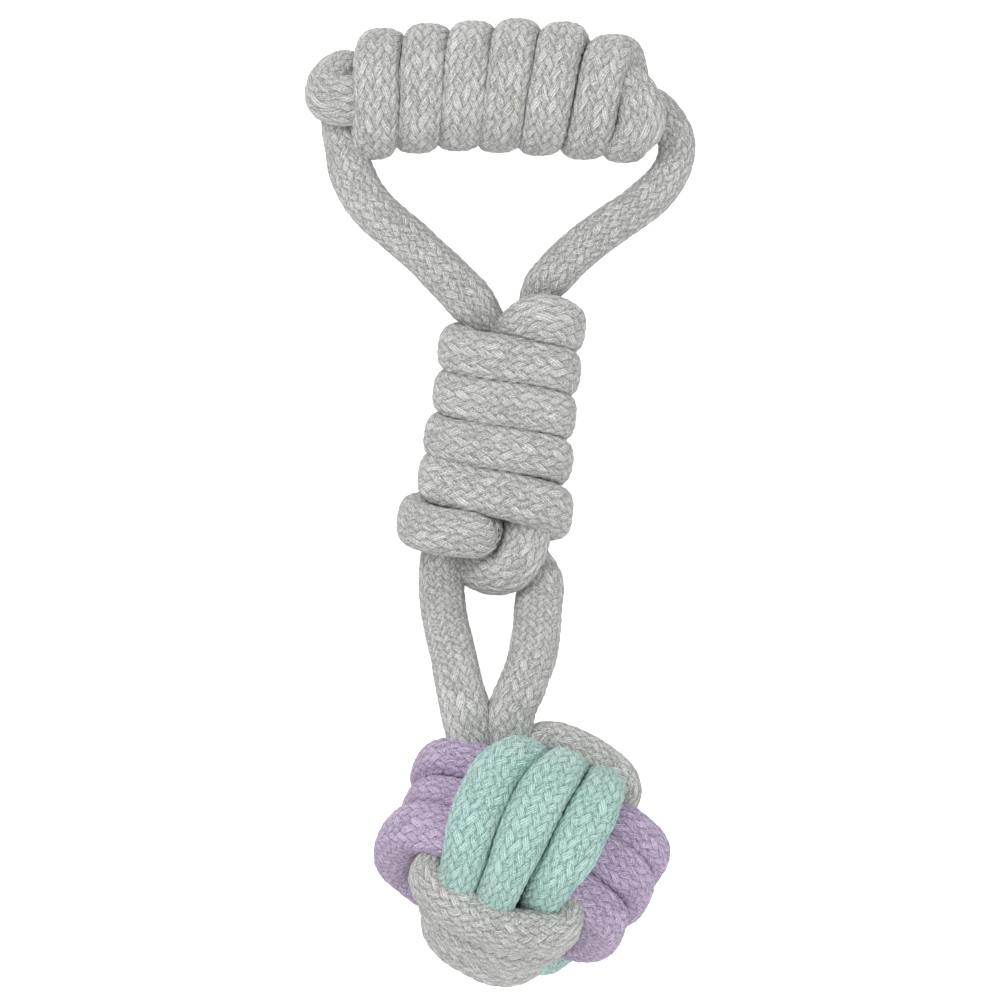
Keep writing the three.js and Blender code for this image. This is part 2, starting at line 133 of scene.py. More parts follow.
class ToyColours(PropertyGroup):
    """Colours of the three ropes."""

    grey: FloatVectorProperty(
        name="Grey", description="Grey melange rope", subtype="COLOR", default=(0.72, 0.725, 0.70))
    mint: FloatVectorProperty(
        name="Mint", description="Mint rope", subtype="COLOR", default=(0.565, 0.92, 0.825))
    lilac: FloatVectorProperty(
        name="Lilac", description="Lilac rope", subtype="COLOR", default=(0.67, 0.525, 0.775))


class ToyStage(PropertyGroup):
    """Floor, lights and camera."""

    distance: FloatProperty(
        name="Camera", description="Camera above the floor", default=1.6, unit="LENGTH")
    view_width: FloatProperty(
        name="View width", description="Width of the floor in view", default=250 * MM, unit="LENGTH")
    key_power: FloatProperty(
        name="Key", description="Power of the main lamp", default=4.0, subtype="POWER")
    fill_power: FloatProperty(
        name="Fill", description="Power of the second lamp", default=3.4, subtype="POWER")


# Routes. A row is x, y, z, width, depth and the outward direction, in mm.


def unit(vectors):
    """Vectors of length one."""
    vectors = np.asarray(vectors, float)
    return vectors / np.linalg.norm(vectors, axis=-1, keepdims=True)


def smoothstep(value, low, high):
    """0 below low, 1 above high and smooth between."""
    share = np.clip((value - low) / (high - low), 0, 1)
    return share * share * (3 - 2 * share)


def bump(value, middle, spread):
    """1 at a middle, falling off to 0 on both sides."""
    return np.exp(-((value - middle) / spread) ** 2)


def table(value, *pairs):
    """A value read from pairs of a place and what is given there."""
    return np.interp(value, *zip(*pairs))


def bulged(value, squareness):
    """Sine or cosine of an outline squarer than an ellipse."""
    return np.sign(value) * np.abs(value) ** (2 / squareness)


def distances(points):
    """How far along a line each of its points is."""
    return np.concatenate(([0], np.cumsum(np.linalg.norm(np.diff(points, axis=0), axis=1))))


def outline(squareness, shares):
    """Places at even steps round an outline of size one, from its top: across and up."""
    angles = np.linspace(0, 2 * np.pi, OUTLINE_POINTS)
    across, above = bulged(np.sin(angles), squareness), bulged(np.cos(angles), squareness)
    along = distances(np.column_stack((across, above)))
    return np.interp(shares * along[-1], along, across), np.interp(shares * along[-1], along, above)


def through(rows, per_span=10):
    """Smooth line through rows, with every column carried along: a centripetal Catmull-Rom curve."""
    rows = np.asarray(rows, float)
    rows = np.vstack((2 * rows[0] - rows[1], rows, 2 * rows[-1] - rows[-2]))
    steps = np.sqrt(np.linalg.norm(np.diff(rows[:, :3], axis=0), axis=1))
    knots = np.concatenate(([0], np.cumsum(np.maximum(steps, TINY))))
    made = []
    for span in range(1, len(rows) - 2):
        t0, t1, t2, t3 = knots[span - 1:span + 3]
        p0, p1, p2, p3 = rows[span - 1:span + 3]
        t = np.linspace(t1, t2, per_span, endpoint=False)[:, None]
        a1 = (t1 - t) / (t1 - t0) * p0 + (t - t0) / (t1 - t0) * p1
        a2 = (t2 - t) / (t2 - t1) * p1 + (t - t1) / (t2 - t1) * p2
        a3 = (t3 - t) / (t3 - t2) * p2 + (t - t2) / (t3 - t2) * p3
        b1 = (t2 - t) / (t2 - t0) * a1 + (t - t0) / (t2 - t0) * a2
        b2 = (t3 - t) / (t3 - t1) * a2 + (t - t1) / (t3 - t1) * a3
        made.append((t2 - t) / (t2 - t1) * b1 + (t - t1) / (t2 - t1) * b2)
    return np.vstack((*made, rows[-2:-1]))


def evenly(line, step):
    """The same line with rows about a step apart, and how far along it each row is."""
    along = distances(line[:, :3])
    count = max(int(round(along[-1] / step)), 2)
    places = np.linspace(0, along[-1], count + 1)
    return np.column_stack([np.interp(places, along, column) for column in line.T]), places


def upward_rows(rows, diameter):
    """Rows of x, y, z and perhaps width and depth, filled up to full rows that face up."""
    full = []
    for row in rows:
        width = row[3] if len(row) > 3 else diameter
        depth = row[4] if len(row) > 4 else width
        full.append((*row[:3], width, depth, *UP))
    return full


def drawn_in(rows):
    """Rounds a rope's ends off, by shrinking its section there."""
    places = distances(rows[:, :3])
    for near in (places, places[-1] - places):
        share = np.clip(near / END_LENGTH, 0, 1)
        rows[:, 3:5] *= np.sqrt(1 - (1 - share[:, None]) ** 2 * END_CLOSED)
    return rows


# Braid


def braid_height(around, along):
    """Height of the yarns, 0 to 1, over a place counted in yarns round the rope and along it."""
    one, two = around + along, around - along
    i, j = np.floor(one), np.floor(two)
    turn = np.mod(i + j, 2 * OVER)
    first = turn < OVER
    across = np.where(first, one - i, two - j)
    share = (np.where(first, two - j, one - i) + np.mod(turn, OVER)) / OVER
    crown = np.sqrt(1 - (2 * across - 1) ** 2 * YARN_SIDES)
    arch = np.sqrt(1 - (2 * share - 1) ** 2 * YARN_ENDS)
    return crown * (YARN_KEPT + (1 - YARN_KEPT) * arch)


def random_field(seed, lines, columns, cells, per_cell):
    """A smooth random field over a rope, from -1 to 1, that meets itself at the rope's seam."""
    coarse = np.random.default_rng(seed).uniform(-1, 1, (int(lines / per_cell) + 3, cells))
    row = np.arange(lines) / per_cell
    column = np.arange(columns) / (columns - 1) * cells
    i, j = np.floor(row).astype(int), np.floor(column).astype(int)
    down = smoothstep(row - i, 0, 1)[:, None]
    aside = smoothstep(column - j, 0, 1)[None, :]
    upper = coarse[i][:, j % cells] * (1 - aside) + coarse[i][:, (j + 1) % cells] * aside
    lower = coarse[i + 1][:, j % cells] * (1 - aside) + coarse[i + 1][:, (j + 1) % cells] * aside
    return upper * (1 - down) + lower * down


def rope_rings(rows, places, squareness, settings, samples, seed):
    """Points of a braided rope, one ring for each row, and each point's place in the braid, in yarns."""
    yarns = settings.yarns
    middles = rows[:, :3]
    tangents = unit(np.gradient(middles, axis=0))
    outs = unit(rows[:, 5:8] - tangents * np.sum(rows[:, 5:8] * tangents, axis=1, keepdims=True))
    sides = np.cross(tangents, outs)
    around = np.arange(yarns * samples + 1) / samples
    pressed = smoothstep(np.minimum(places, places[-1] - places), *PRESSED_FROM)[:, None]
    aside, upright = (pressed * wound + (1 - pressed) * free for wound, free in zip(
        outline(squareness, around / yarns), outline(ROUND, around / yarns)))
    shape = (len(rows), len(around))
    fields = [random_field((seed, number), *shape, cells, per_cell) for number, cells, per_cell in (
        (0, yarns, samples), (1, yarns, samples), (2, UNEVEN_CELLS, samples * UNEVEN_YARNS))]
    one = around[None, :] + settings.drift * fields[0]
    two = (places / (settings.lay / MM))[:, None] + settings.drift * fields[1]
    across = aside * rows[:, 3:4] / 2
    above = upright * rows[:, 4:5] / 2
    reach = np.maximum(np.hypot(across, above), TINY)
    lost = settings.relief / MM * (1 - braid_height(one, two)) + settings.unevenness / MM * fields[2]
    kept = 1 - lost * np.minimum(1, reach / FULL_RELIEF) / reach
    rings = (middles[:, None, :] + (across * kept)[:, :, None] * sides[:, None, :]
             + (above * kept)[:, :, None] * outs[:, None, :])
    return rings, np.stack((one, two), axis=2)


def rope_object(name, rings, braid, material):
    """A closed rope from its rings, with its places in the braid as a UV map."""
    lengths, wide = rings.shape[0] - 1, rings.shape[1] - 1
    bm = bmesh.new()
    bm.loops.layers.uv.new(UV_NAME)
    bmesh.ops.create_grid(bm, x_segments=wide, y_segments=lengths, size=0.5)  # of side one
    mesh = bpy.data.meshes.new(name)
    bm.to_mesh(mesh)
    bm.free()
    flat = np.empty(len(mesh.vertices) * 3)
    mesh.vertices.foreach_get("co", flat)
    flat = flat.reshape(-1, 3)
    columns = np.rint((flat[:, 0] + 0.5) * wide).astype(int)
    lines = np.rint((flat[:, 1] + 0.5) * lengths).astype(int)
    placed = (rings[lines, columns] + SHIFT) * MM
    placed[:, 2] = np.maximum(placed[:, 2], 0)  # pressed flat where it lies
    mesh.vertices.foreach_set("co", placed.ravel())
    corners = np.empty(len(mesh.loops), int)
    mesh.loops.foreach_get("vertex_index", corners)
    mesh.uv_layers[UV_NAME].data.foreach_set("uv", braid[lines[corners], columns[corners]].ravel())
    bm = bmesh.new()
    bm.from_mesh(mesh)
    bmesh.ops.remove_doubles(bm, verts=bm.verts, dist=MERGED)
    rims = [edge for edge in bm.edges if edge.is_boundary]
    for edge in rims:
        edge.smooth = False
    bmesh.ops.holes_fill(bm, edges=rims, sides=0)
    bmesh.ops.recalc_face_normals(bm, faces=bm.faces)
    bm.to_mesh(mesh)
    bm.free()
    mesh.polygons.foreach_set("use_smooth", np.ones(len(mesh.polygons), bool))
    mesh.materials.append(material)
    mesh.update()
    piece = bpy.data.objects.new(name, mesh)
    bpy.context.scene.collection.objects.link(piece)
    return piece


def rope_step(settings, samples):
    """Distance between a rope's rings, in mm."""
    return RING_SHARE * math.pi * settings.diameter / MM / settings.yarns / samples


def braided(name, rows, material, seed, squareness, warp=None, samples=None):
    """A braided rope along rows, as an object."""
    settings = bpy.context.scene.toy_rope
    samples = samples or settings.samples
    rows, places = evenly(through(rows), rope_step(settings, samples))
    rows = drawn_in(rows)
    rings, braid = rope_rings(rows, places, squareness, settings, samples, seed)
    if warp:
        rings = warp(rings)
    return rope_object(name, rings, braid, material)


# Shaders


class Signal:
    """A shader value that takes part in expressions."""

    def __init__(self, shader, socket):
        self.shader = shader
        self.socket = socket

    def math(self, operation, *others):
        """A Math node on this value and others."""
        return self.shader.node("ShaderNodeMath", {"operation": operation}, [self, *others])

    def __add__(self, other):
        return self.math("ADD", other)

    __radd__ = __add__

    def __mul__(self, other):
        return self.math("MULTIPLY", other)

    __rmul__ = __mul__

    def __sub__(self, other):
        return self.math("SUBTRACT", other)

    def __rsub__(self, other):
        return self.shader.node("ShaderNodeMath", {"operation": "SUBTRACT"}, [other, self])

    def __lt__(self, other):
        return self.math("LESS_THAN", other)

    def __gt__(self, other):
        return self.math("GREATER_THAN", other)

    def __mod__(self, other):
        return self.math("FLOORED_MODULO", other)

    def __pow__(self, other):
        return self.math("POWER", other)


class Shader:
    """A material's node tree."""

    def __init__(self, name):
        self.material = bpy.data.materials.new(name)
        self.material.use_nodes = True
        self.tree = self.material.node_tree
        self.tree.nodes.clear()

    def node(self, kind, settings=None, inputs=None, output=0):
        """A node of a kind, its settings, then the values or links of its sockets.

        Returns one output, if the node has any.
        """
        made = self.tree.nodes.new(kind)
        for key, value in (settings or {}).items():
            setattr(made, key, value)
        pairs = enumerate(inputs) if isinstance(inputs, (list, tuple)) else (inputs or {}).items()
        for key, value in pairs:
            socket = made.inputs[key]
            if isinstance(value, Signal):
                self.tree.links.new(value.socket, socket)
            else:
                socket.default_value = value
        return Signal(self, made.outputs[output]) if made.outputs else None

    def mix(self, factor, one, two):
        """A mix of two colours."""
        return self.node("ShaderNodeMix", {"data_type": "RGBA"}, {0: factor, 6: one, 7: two}, output=2)

    def vector(self, x, y, z):
        """A vector from three values."""
        return self.node("ShaderNodeCombineXYZ", None, [x, y, z])

    def ramp(self, factor, *stops, step=False):
        """A colour ramp through stops of a place and a colour."""
        made = self.node("ShaderNodeValToRGB", None, {"Fac": factor})
        ramp = made.socket.node.color_ramp
        ramp.interpolation = "CONSTANT" if step else "LINEAR"
        for number, (place, colour) in enumerate(stops):
            element = ramp.elements[number] if number < 2 else ramp.elements.new(place)
            element.position = place
            element.color = rgba(colour)
        return made

    def random(self, *cell):
        """A random value for each cell."""
        vector = self.vector(*cell)
        return self.node("ShaderNodeTexWhiteNoise", {"noise_dimensions": "3D"}, {"Vector": vector}, "Value")

    def noise(self, vector, scale, detail, roughness=0.5):
        """Smooth noise."""
        return self.node(
            "ShaderNodeTexNoise", {"noise_dimensions": "3D"},
            {"Vector": vector, "Scale": scale, "Detail": detail, "Roughness": roughness})


def rgba(colour, times=1.0):
    """A colour with alpha, lighter or darker."""
    return (*(min(1.0, channel * times) for channel in colour), 1.0)


# Rope material
OTHER_WAY = 200.5  # sets the numbers of the yarns that run the other way apart
DARK = 0.52  # darkest fibres, over the rope's colour
PALE = (1.26, 0.08)  # palest fibres: times the rope's colour, and what is added
SHADE = 0.45  # colour of the painted shade in the gaps and grooves, over the darkest fibres
ENDS = 3.6  # fine ends side by side in a yarn
WANDER = (1.3, 0.9)  # how often and how far the ends wander in a yarn
# Steps that give each end its own random values: across the yarns, along them and from use to use.
END_TONE = (0.173, 7.0, 0.0)
END_PICK = (0.311, -3.0, 5.0)
END_HUE = (0.47, 11.0, 9.0)
FIBRE_GRAIN = (7.0, 6.0)  # across a yarn and along it
FIBRE_STEPS = (3.7, 1.9)  # set the fibres of each float apart
LINT_GRAIN = 2200.0  # in a metre
FLOAT_HEIGHT = (0.35, 0.65)  # share that comes from a float's sides, and from its ends
TONES = {"end": 0.33, "float": 0.12, "lint": 2.1, "all": -1.265}  # weights, and what is added
TONE_STOPS = (0.10, 0.5, 0.90)  # tones of the darkest fibres, the rope's colour and the palest fibres
FLECK = (0.15, 0.6)  # half the length of a coloured fibre in its float, and how strongly it shows
GAP_SHADE = (2.2, 2.4)  # how sharply the painted shade darkens the gaps between the yarns, and how much
GROOVE_SHADE = 0.36  # how much painted shade darkens the grooves between the ends
HEIGHTS = {"ridge": 0.9, "fibres": 0.9, "depth": 0.4, "lint": 0.6}  # weights in the fine relief
BUMP = (0.8, 0.00028)  # strength of the fine relief, and its height, m
COTTON = {"Roughness": 0.95, "Specular IOR Level": 0.15, "Sheen Weight": 0.35, "Sheen Roughness": 0.6}


def rounded(share):
    """0 at 0 and 1, and 1 halfway."""
    return 1.0 - (share * 2.0 - 1.0) ** 2.0


def rope_material(name, colour, flecks, fleck_share):
    """Braided cotton: yarns of fine ends, each end with its own tone, a few fibres of other colours, and
    painted shade in the gaps between the yarns and the grooves between the ends.
    """
    dark = tuple(channel * DARK for channel in colour)
    pale = tuple(min(1.0, channel * PALE[0] + PALE[1]) for channel in colour)
    shader = Shader(name)
    place = shader.node("ShaderNodeUVMap", {"uv_map": UV_NAME})
    around = shader.node("ShaderNodeSeparateXYZ", None, [place])
    along = Signal(shader, around.socket.node.outputs[1])
    one = around + along
    two = around - along
    i = one.math("FLOOR")
    j = two.math("FLOOR")
    turn = (i + j) % (2 * OVER)
    first = turn < OVER - 0.5
    second = 1.0 - first
    across = first * (one - i) + second * (two - j)
    share = (first * (two - j) + second * (one - i) + turn % OVER) * (1 / OVER)
    group = ((i + j) * (0.5 / OVER)).math("FLOOR")
    yarn = first * i + second * (j + OTHER_WAY)
    wander = shader.noise(
        shader.vector(around * WANDER[0], along * WANDER[0], 0.0), scale=1.0, detail=1.0)
    ends = across * ENDS + wander * WANDER[1] - WANDER[1] / 2
    end = ends.math("FLOOR")

    def of_end(aside, onward, use):
        """A random value for each fine end of each float."""
        return shader.random(yarn + end * aside, group + end * onward, first + use)

    pick = of_end(*END_PICK)
    hue = of_end(*END_HUE)
    layer = yarn * FIBRE_STEPS[0] + group * FIBRE_STEPS[1]
    grain = shader.vector(across * FIBRE_GRAIN[0], share * FIBRE_GRAIN[1], layer)
    fibres = shader.noise(grain, scale=1.0, detail=3.0, roughness=0.7)
    object_place = shader.node("ShaderNodeTexCoord", output="Object")
    lint = shader.noise(object_place, LINT_GRAIN, detail=2.0, roughness=0.6)
    ridge = rounded(ends - end)
    depth = rounded(across).math("SQRT") * FLOAT_HEIGHT[0] + rounded(share) * FLOAT_HEIGHT[1]
    tone = (of_end(*END_TONE) * TONES["end"] + shader.random(yarn, group, first) * TONES["float"]
            + fibres + lint * TONES["lint"] + TONES["all"])
    body = shader.ramp(tone, *zip(TONE_STOPS, (dark, colour, pale)))
    fleck_stops = ((number / len(flecks), fleck) for number, fleck in enumerate(flecks))
    odd = shader.ramp(hue, *fleck_stops, step=True)
    spot = (pick > 1.0 - fleck_share) * ((share - hue).math("ABSOLUTE") < FLECK[0])
    coloured = shader.mix(spot * FLECK[1], body, odd)
    # Painted shade: the gaps where a yarn dives under the next and the grooves between its fine ends are
    # darkened towards the dark colour, for the shade that falls there.
    gap_shade = (1.0 - depth) ** GAP_SHADE[0] * (lint * GAP_SHADE[1])
    shaded = shader.mix((gap_shade + (1.0 - ridge) * GROOVE_SHADE).math("MINIMUM", 1.0), coloured, rgba(dark, SHADE))
    height = (ridge * HEIGHTS["ridge"] + fibres * HEIGHTS["fibres"]
              + depth * HEIGHTS["depth"] + lint * HEIGHTS["lint"])
    relief = shader.node(
        "ShaderNodeBump", None, {"Strength": BUMP[0], "Distance": BUMP[1], "Height": height})
    surface = shader.node(
        "ShaderNodeBsdfPrincipled", None, {"Base Color": shaded, "Normal": relief, **COTTON})
    shader.node("ShaderNodeOutputMaterial", None, {"Surface": surface})
    return shader.material


# For each rope, the share of fine ends with a fibre of another colour, and those colours.
FLECKS = {
    "grey": (0.018, ((0.09, 0.10, 0.12), (0.36, 0.15, 0.09), (0.20, 0.33, 0.38), (0.50, 0.40, 0.18),
                     (0.80, 0.80, 0.77))),
    "mint": (0.030, ((0.09, 0.40, 0.32), (0.12, 0.44, 0.42), (0.62, 0.64, 0.40), (0.82, 0.92, 0.87))),
    "lilac": (0.020, ((0.25, 0.11, 0.33), (0.56, 0.28, 0.48), (0.76, 0.66, 0.82))),
}


def finishes():
    """The three rope materials, made once."""
    made = {}
    for name, (share, flecks) in FLECKS.items():
        material = bpy.data.materials.get(f"braided_{name}")
        if material is None:
            colour = tuple(getattr(bpy.context.scene.toy_colours, name))
            material = rope_material(f"braided_{name}", colour, flecks, share)
        made[name] = material
    return made


def set_down(piece, body, colour, *nodes):
    """Hangs a finished piece on a body, in place of CAD nodes."""
    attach(piece, body)
    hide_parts(*nodes)


# Operators


class TOY_OT_stage(Operator):
    """Floor, lamps, world and camera"""

    bl_idname = "toy.stage"
    bl_label = "Stage"

    SENSOR = 36.0  # mm
    FOCUS_HEIGHT = 0.02  # height at which the view is as wide as it says, m
    CAMERA_SHIFT = 0.25  # camera off the toy's middle, towards the grip, mm
    FAR = 20.0  # end of the camera's view, m
    FLOOR_SIZE = 3.0  # m
    FLOOR_GREY = 0.86
    FLOOR_GLOW = 0.82  # what the floor adds to look white
    SKY = 0.70  # brightness of the white surroundings
    # Name, setting of its power, size and place of each lamp, m.
    LAMPS = (
        ("key_lamp", "key_power", 0.5, (-0.45, 0.6, 0.9)),
        ("fill_lamp", "fill_power", 1.2, (0.35, -0.65, 0.8)),
    )

    def execute(self, context):
        scene = context.scene
        stage = scene.toy_stage
        scene.view_settings.view_transform = "Standard"
        camera = bpy.data.objects.new("camera", bpy.data.cameras.new("camera"))
        camera.data.sensor_width = self.SENSOR
        camera.data.lens = self.SENSOR * (stage.distance - self.FOCUS_HEIGHT) / stage.view_width
        camera.data.clip_end = self.FAR
        camera.location = (SHIFT[0] * MM, (SHIFT[1] + self.CAMERA_SHIFT) * MM, stage.distance)
        scene.collection.objects.link(camera)
        scene.camera = camera
        bm = bmesh.new()
        bmesh.ops.create_grid(bm, x_segments=1, y_segments=1, size=self.FLOOR_SIZE)
        mesh = bpy.data.meshes.new("floor")
        bm.to_mesh(mesh)
        bm.free()
        floor = bpy.data.objects.new("floor", mesh)
        scene.collection.objects.link(floor)
        mesh.materials.append(self.floor_material())
        for name, power, size, place in self.LAMPS:
            self.lamp(scene, name, getattr(stage, power), size, place)
        world = bpy.data.worlds.new("studio")
        scene.world = world
        world.use_nodes = True
        background = world.node_tree.nodes["Background"]
        background.inputs["Color"].default_value = (1.0, 1.0, 1.0, 1.0)
        background.inputs["Strength"].default_value = self.SKY
        return {"FINISHED"}

    def lamp(self, scene, name, power, size, place):
        """A square area lamp that faces the toy."""
        light = bpy.data.lights.new(name, "AREA")
        light.energy = power
        light.size = size
        lamp = bpy.data.objects.new(name, light)
        lamp.location = place
        lamp.rotation_euler = (-Vector(place)).to_track_quat("-Z", "Y").to_euler()
        scene.collection.objects.link(lamp)

    def floor_material(self):
        """White to the camera, and it still takes the toy's shadow."""
        shader = Shader("floor_white")
        path = shader.node("ShaderNodeLightPath")
        outputs = path.socket.node.outputs
        seen = (Signal(shader, outputs["Is Camera Ray"])
                .math("MAXIMUM", Signal(shader, outputs["Is Glossy Ray"]))
                .math("MAXIMUM", Signal(shader, outputs["Is Transmission Ray"])))
        matt = shader.node("ShaderNodeBsdfDiffuse", None, {"Color": (*[self.FLOOR_GREY] * 3, 1.0)})
        glow = shader.node("ShaderNodeEmission", None, {"Strength": seen * self.FLOOR_GLOW})
        both = shader.node("ShaderNodeAddShader", None, [matt, glow])
        shader.node("ShaderNodeOutputMaterial", None, {"Surface": both})
        return shader.material


class TOY_OT_loop_rope(Operator):
    """The rope that runs from the ball, through the knot and the grip, and back"""

    bl_idname = "toy.loop_rope"
    bl_label = "Loop rope"

    # Left side from the ball up, through the grip, and down the right side to the ball.
    LEFT_NECK = ((-1.6, -70.0, 36.5, 7.6), (-4.0, -64.0, 38.4, 10.6), (-6.8, -58.0, 39.6, 12.4),
                 (-8.5, -52.0, 39.2, 12.7), (-9.9, -46.0, 36.2, 12.2), (-11.4, -39.6, 29.4),
                 (-13.1, -33.0, 22.4), (-14.2, -27.0, 16.8), (-14.7, -21.0, 14.0))
    LEFT_KNOT = ((-11.2, 36.0, 0.0, 11.0), (-8.2, 29.0, 0.2, 8.6), (-4.8, 22.0, 0.0, 6.6, 7.6),
                 (-3.5, 14.0, 0.0, 6.6, 7.6), (-3.5, 0.0, 0.0, 6.6, 7.6), (-3.5, -14.0, 0.0, 6.6, 7.6),
                 (-4.1, -21.0, 0.0, 7.0, 8.0), (-8.2, -25.2, 0.4, 10.4), (-12.2, -29.0, 0.4, 12.0))
    LEFT_TOP = ((-15.0, 58.1, 14.2), (-19.9, 62.75, 14.5), (-25.8, 67.9, 15.0), (-31.3, 72.9, 15.4),
                (-35.0, 77.8, 15.5), (-37.5, 83.0, 15.5), (-38.7, 88.6, 15.6, 10.8),
                (-40.0, 93.6, 15.4, 9.8), (-40.2, 98.2, 15.3, 9.2), (-38.0, 101.6, 15.4, 8.4),
                (-33.0, 103.0, 15.4, 8.2))
    RIGHT_TOP = ((0.0, 103.2, 15.4, 8.2), (29.0, 102.0, 15.4, 8.2), (35.0, 100.6, 15.4, 9.2),
                 (39.6, 97.8, 15.4, 10.0), (42.8, 94.0, 15.4, 9.8), (44.3, 89.6, 15.4, 9.4),
                 (43.6, 84.6, 15.4, 9.7), (40.9, 79.7, 15.4, 10.2), (35.8, 74.8, 15.3, 10.5),
                 (29.2, 70.0, 15.0, 10.7), (22.6, 65.3, 14.6, 10.9), (17.4, 60.8, 14.3, 10.9),
                 (13.8, 57.0, 14.1, 11.0))
    RIGHT_KNOT = ((6.6, -34.5, -0.2, 10.6), (4.6, -29.0, -0.8, 8.4), (3.5, -23.0, -0.4, 6.8, 7.4),
                  (3.5, -14.0, 0.0, 6.6, 7.6), (3.5, 0.0, 0.0, 6.6, 7.6), (3.5, 14.0, 0.0, 6.6, 7.6),
                  (3.5, 24.0, 0.0, 6.6, 7.6), (5.4, 29.0, -0.2, 7.6, 8.0), (9.6, 33.2, -0.8, 9.4, 9.2),
                  (12.4, 37.2, -1.2, 11.0, 10.6))
    RIGHT_NECK = ((9.9, -20.4, 13.6, 12.0), (9.7, -26.0, 16.0, 12.2), (9.2, -32.0, 21.4, 12.3),
                  (7.9, -39.2, 29.0, 12.3), (5.2, -46.0, 36.2, 12.2), (2.8, -52.0, 39.6, 12.2),
                  (2.2, -58.0, 40.6, 11.4), (2.4, -64.0, 39.4, 9.6), (3.0, -70.0, 37.5, 7.6))
    # Lines across the toy at which the pieces meet, and a pair of other lines for each piece: places in Y,
    # mm.
    NECK_CUT = -36.0
    KNOT_CUT = 20.0
    LEG_CUT = 68.5
    NECK_BEND = (-40.0, -54.0)
    LOWER_BEND = (-19.0, -32.0)
    UPPER_BEND = (53.0, 65.0)
    GRIP_BEND = (71.0, 84.0)
    PATH_STEP = 6  # rows from one point of the cord's path to the next
    # Name, first and second body, bend and replaced nodes of each piece, in order along the rope.
    PIECES = (
        ("neck_rope_left", "lower_loop", "ball", NECK_BEND, ("ball_neck_left",)),
        ("lower_rope_left", "knot", "lower_loop", LOWER_BEND, ("lower_leg_left",)),
        ("upper_rope_left", "knot", "upper_loop", UPPER_BEND, ("knot_strand_left",)),
        ("hand_loop_rope", "upper_loop", "grip", GRIP_BEND,
         ("grip_core_rope", "upper_leg_left", "upper_leg_right")),
        ("upper_rope_right", "knot", "upper_loop", UPPER_BEND, ("knot_strand_right",)),
        ("lower_rope_right", "knot", "lower_loop", LOWER_BEND, ("lower_leg_right",)),
        ("neck_rope_right", "lower_loop", "ball", NECK_BEND, ("ball_neck_right",)),
    )

    def execute(self, context):
        settings = context.scene.toy_rope
        diameter = settings.diameter / MM
        rows = upward_rows((
            *self.LEFT_NECK, *self.knot_rows(self.LEFT_KNOT), *self.LEFT_TOP, *self.RIGHT_TOP,
            *self.knot_rows(self.RIGHT_KNOT), *self.RIGHT_NECK), diameter)
        rows, places = evenly(through(rows), rope_step(settings, settings.samples))
        rows = drawn_in(rows)
        rings, braid = rope_rings(rows, places, ROUND, settings, settings.samples, seed=1)
        cuts = self.cut_indexes(rows[:, 1])
        grey = finishes()["grey"]
        for (name, body, other, bend, nodes), first, last in zip(self.PIECES, cuts[:-1], cuts[1:]):
            part = slice(first, last + 1)
            piece = rope_object(name, rings[part], braid[part], grey)
            line = [(0.0, (y + SHIFT[1]) * MM, 0.0) for y in bend]
            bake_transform(piece)
            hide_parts(*nodes)
            if name == "hand_loop_rope":
                path = (rows[part, :3] + SHIFT) * MM
        return {"FINISHED"}

    def knot_rows(self, rows):
        """Rows of the knot's own axes, turned into the toy's."""
        return [(*knot_point(*row[:3]), *row[3:]) for row in rows]

    def cut_indexes(self, ys):
        """Places of the cuts along the rope, in order."""
        lines = (self.NECK_CUT, self.KNOT_CUT, self.LEG_CUT, self.LEG_CUT, self.KNOT_CUT, self.NECK_CUT)
        crossings = []
        for index in range(1, len(ys)):
            wanted = lines[len(crossings)] if len(crossings) < len(lines) else None
            if wanted is not None and (ys[index - 1] - wanted) * (ys[index] - wanted) <= 0:
                crossings.append(index)
        if len(crossings) != len(lines):
            raise RuntimeError("the loop rope doesn't cross all its cuts")
        return [0, *crossings, len(ys) - 1]


def knot_point(across, down, up):
    """A place in the knot's own axes, in mm."""
    return (
        KNOT_MIDDLE[0] + across * math.cos(KNOT_TILT) - down * math.sin(KNOT_TILT),
        KNOT_MIDDLE[1] - across * math.sin(KNOT_TILT) - down * math.cos(KNOT_TILT),
        KNOT_HEIGHT + up,
    )


